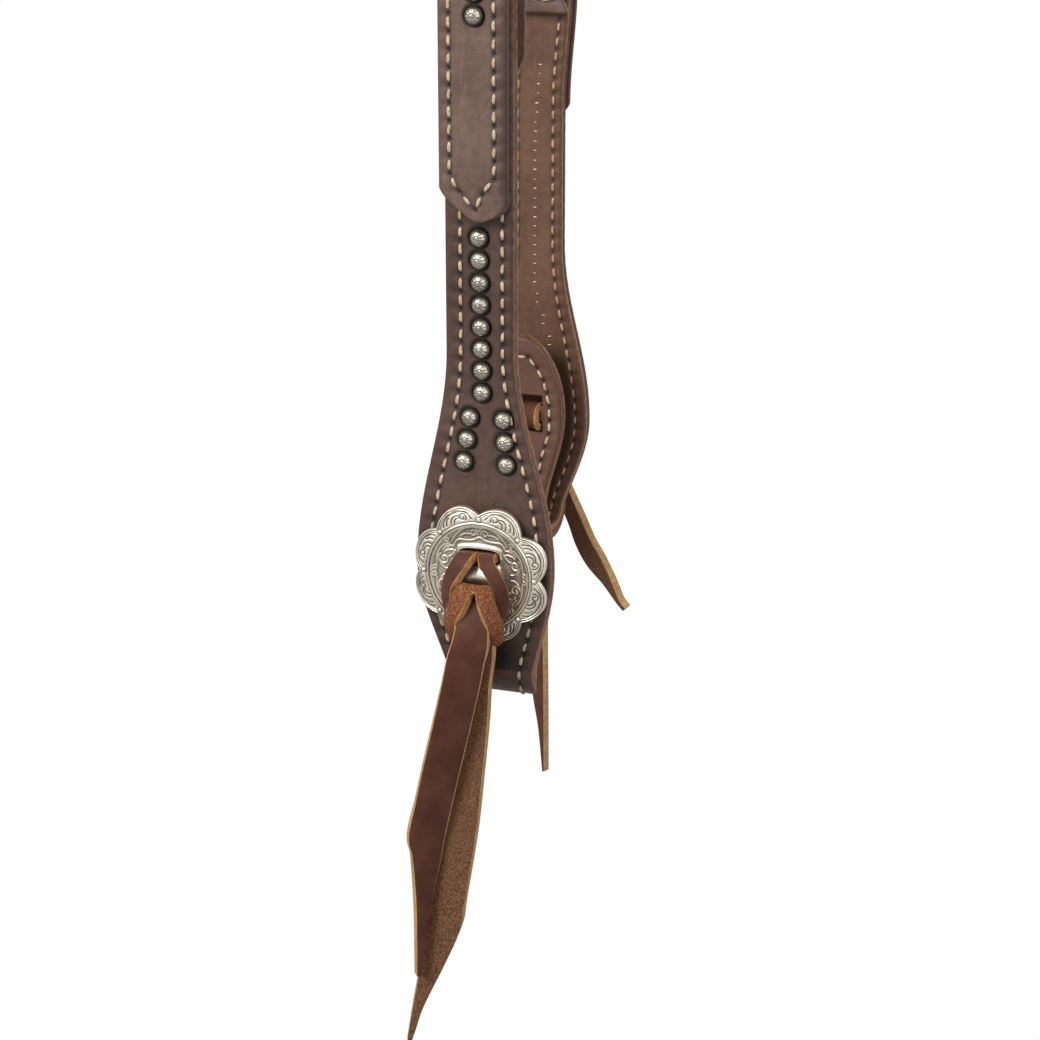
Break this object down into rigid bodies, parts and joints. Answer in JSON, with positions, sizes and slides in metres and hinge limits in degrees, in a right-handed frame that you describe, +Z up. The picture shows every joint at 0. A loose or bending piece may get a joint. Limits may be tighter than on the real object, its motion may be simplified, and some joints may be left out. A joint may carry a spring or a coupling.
{
  "type": "western headstall",
  "caption": "Slip-ear western headstall with doubled spotted cheeks, laced bit loops under scalloped slotted conchos, bowed buckles and hanging lace tails.",
  "frame": {"origin": "underside of the crown at the middle of the poll seat", "axes": "+Z up; X across the straps, with the horse's forehead towards -X; near cheek at -Y, far cheek at +Y"},
  "size_m": [0.1007, 0.1828, 0.5776],
  "materials": {
    "bridle_leather": "oiled chocolate bridle leather with burnished edges",
    "lining_leather": "lighter brown lining leather",
    "latigo_lace": "burgundy latigo lace with tan cut edges",
    "antique_silver": "antique silver plate, engraved, with dark recesses"
  },
  "bodies": {
    "crown": {"crown_strap": "bridle_leather", "crown_lining": "lining_leather", "near_buckle_frame": "antique_silver", "far_buckle_frame": "antique_silver"},
    "slip_ear": {"slip_ear": "bridle_leather"},
    "near_tongue": {"near_buckle_tongue": "antique_silver"},
    "near_cheek": {"near_chape": "bridle_leather", "near_cheek_strap": "bridle_leather", "near_cheek_lining": "lining_leather", "near_concho": "antique_silver", "near_tie_lace": "latigo_lace", "near_cheek_spot_01": "antique_silver", "near_cheek_spot_02": "antique_silver", "near_cheek_spot_03": "antique_silver", "near_cheek_spot_04": "antique_silver", "near_cheek_spot_05": "antique_silver", "near_cheek_spot_06": "antique_silver", "near_cheek_spot_07": "antique_silver", "near_cheek_spot_08": "antique_silver", "near_cheek_spot_09": "antique_silver", "near_cheek_spot_10": "antique_silver", "near_cheek_spot_11": "antique_silver", "near_cheek_spot_12": "antique_silver", "near_cheek_spot_13": "antique_silver", "near_cheek_spot_14": "antique_silver", "near_chape_spot_1": "antique_silver", "near_chape_spot_2": "antique_silver", "near_chape_spot_3": "antique_silver", "near_chape_spot_4": "antique_silver", "near_chape_spot_5": "antique_silver"},
    "near_lace_tails": {"near_lace_tail_front": "latigo_lace", "near_lace_tail_back": "latigo_lace"},
    "far_tongue": {"far_buckle_tongue": "antique_silver"},
    "far_cheek": {"far_chape": "bridle_leather", "far_cheek_strap": "bridle_leather", "far_cheek_lining": "lining_leather", "far_concho": "antique_silver", "far_tie_lace": "latigo_lace", "far_cheek_spot_01": "antique_silver", "far_cheek_spot_02": "antique_silver", "far_cheek_spot_03": "antique_silver", "far_cheek_spot_04": "antique_silver", "far_cheek_spot_05": "antique_silver", "far_cheek_spot_06": "antique_silver", "far_cheek_spot_07": "antique_silver", "far_cheek_spot_08": "antique_silver", "far_cheek_spot_09": "antique_silver", "far_cheek_spot_10": "antique_silver", "far_cheek_spot_11": "antique_silver", "far_cheek_spot_12": "antique_silver", "far_cheek_spot_13": "antique_silver", "far_cheek_spot_14": "antique_silver", "far_chape_spot_1": "antique_silver", "far_chape_spot_2": "antique_silver", "far_chape_spot_3": "antique_silver", "far_chape_spot_4": "antique_silver", "far_chape_spot_5": "antique_silver"},
    "far_lace_tails": {"far_lace_tail_front": "latigo_lace", "far_lace_tail_back": "latigo_lace"}
  },
  "joints": [
    {"name": "slip_ear_slide", "type": "slide", "parent": "crown", "child": "slip_ear", "axis": [0, 0, 1], "range_m": [-0.01, 0.01]},
    {"name": "near_cheek_swing", "type": "hinge", "parent": "crown", "child": "near_cheek", "pos_m": [0.017, -0.0705, -0.2], "axis": [1, 0, 0], "range_deg": [0, 10]},
    {"name": "near_tongue_lift", "type": "hinge", "parent": "crown", "child": "near_tongue", "pos_m": [0.017, -0.0705, -0.2], "axis": [1, 0, 0], "range_deg": [0, 10]},
    {"name": "near_tails_swing", "type": "hinge", "parent": "near_cheek", "child": "near_lace_tails", "pos_m": [0.017, -0.0912, -0.446], "axis": [-1, 0, 0], "range_deg": [0, 60]},
    {"name": "far_cheek_swing", "type": "hinge", "parent": "crown", "child": "far_cheek", "pos_m": [-0.017, 0.0705, -0.2], "axis": [-1, 0, 0], "range_deg": [0, 10]},
    {"name": "far_tongue_lift", "type": "hinge", "parent": "crown", "child": "far_tongue", "pos_m": [-0.017, 0.0705, -0.2], "axis": [-1, 0, 0], "range_deg": [0, 10]},
    {"name": "far_tails_swing", "type": "hinge", "parent": "far_cheek", "child": "far_lace_tails", "pos_m": [-0.017, 0.0912, -0.446], "axis": [1, 0, 0], "range_deg": [0, 60]}
  ]
}
